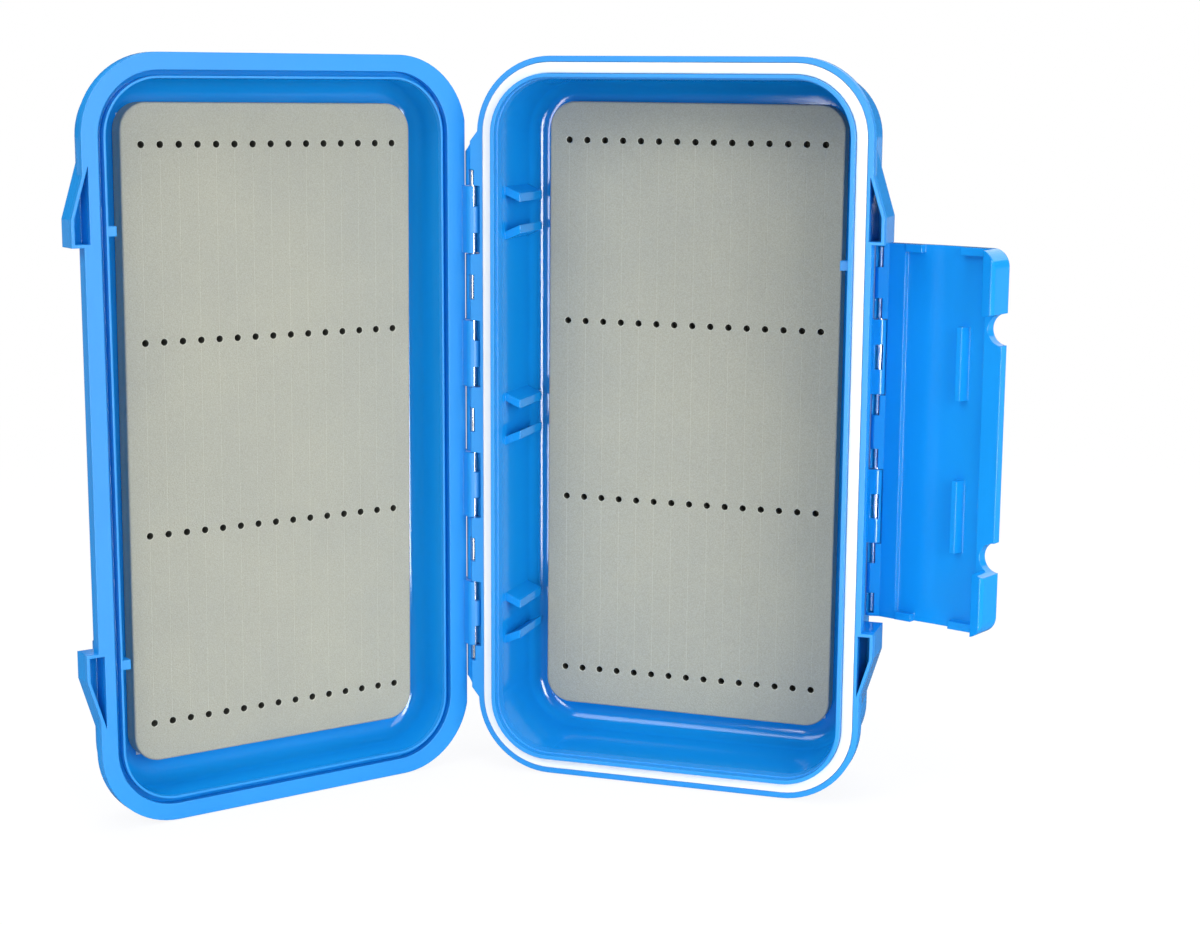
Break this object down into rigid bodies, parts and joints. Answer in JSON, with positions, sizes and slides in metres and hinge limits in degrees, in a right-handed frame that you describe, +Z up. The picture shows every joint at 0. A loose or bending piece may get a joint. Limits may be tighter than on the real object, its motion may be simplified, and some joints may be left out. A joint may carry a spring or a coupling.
{
  "type": "fly box",
  "caption": "Waterproof fly box: deep base and shallow ribbed lid on a pinned hinge, rim seal, bowed latch flap and slit foam pads",
  "frame": {"origin": "middle of the flat lower end of the base flange, on which the open box stands", "axes": "+Z up along the hinge axis, +X from the hinge to the latch across the base, +Y from the base rim into the base tray"},
  "size_m": [0.2128, 0.1134, 0.19],
  "materials": {
    "blue_plastic": "gloss",
    "white_seal": "satin",
    "pin_steel": "polished",
    "grey_foam": "matte",
    "adhesive_film": "matte"
  },
  "bodies": {
    "base": {"base_shell": "blue_plastic", "rim_seal": "white_seal", "hinge_pin": "pin_steel", "latch_pin": "pin_steel", "base_foam": "grey_foam", "base_foam_tape": "adhesive_film"},
    "lid": {"lid_shell": "blue_plastic", "lid_foam": "grey_foam", "lid_foam_tape": "adhesive_film"},
    "latch": {"latch_flap": "blue_plastic"}
  },
  "joints": [
    {"name": "lid_hinge", "type": "hinge", "parent": "base", "child": "lid", "pos_m": [-0.054, 0, 0.095], "axis": [0, 0, 1], "range_deg": [-53, 126.7]},
    {"name": "latch_hinge", "type": "hinge", "parent": "base", "child": "latch", "pos_m": [0.05135, 0.0169, 0.095], "axis": [0, 0, 1], "range_deg": [-70, 75]}
  ]
}
